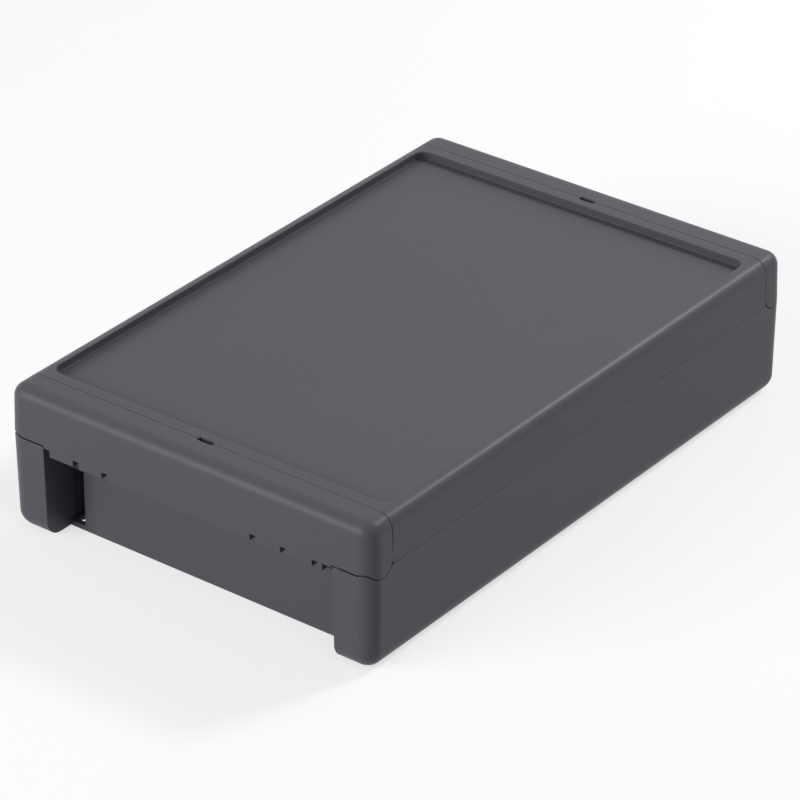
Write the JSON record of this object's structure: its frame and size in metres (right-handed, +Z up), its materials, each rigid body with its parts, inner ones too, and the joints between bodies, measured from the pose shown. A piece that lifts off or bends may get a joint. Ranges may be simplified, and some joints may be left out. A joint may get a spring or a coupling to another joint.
{
  "type": "plastic enclosure housing",
  "caption": "Low rounded electronics enclosure: open base with corner legs, lid with a sunken label field, and a swing-out closure at each short end.",
  "frame": {"origin": "middle of the underside, on the plane the base stands on", "axes": "+X across the short side, +Y along the long side towards the hinge end, +Z up through the lid"},
  "size_m": [0.17, 0.2608, 0.0609],
  "materials": {
    "shell": "fine moulded grain, graphite grey",
    "cover": "fine moulded grain, graphite grey",
    "seal": "matt foamed seal",
    "pin": "ground dowel"
  },
  "bodies": {
    "base": {"base": "shell", "gasket": "seal"},
    "lid": {"lid": "cover", "rear_closure": "cover", "hinge_pin_rear_left": "pin", "hinge_pin_rear_right": "pin"},
    "front_closure": {"front_closure": "cover", "hinge_pin_front_left": "pin", "hinge_pin_front_right": "pin"}
  },
  "joints": [
    {"name": "lid_hinge", "type": "hinge", "parent": "base", "child": "lid", "pos_m": [0, 0.124, 0.045], "axis": [-1, 0, 0], "range_deg": [0, 70]},
    {"name": "front_closure_hinge", "type": "hinge", "parent": "base", "child": "front_closure", "pos_m": [0, -0.124, 0.045], "axis": [1, 0, 0], "range_deg": [0, 70]}
  ]
}
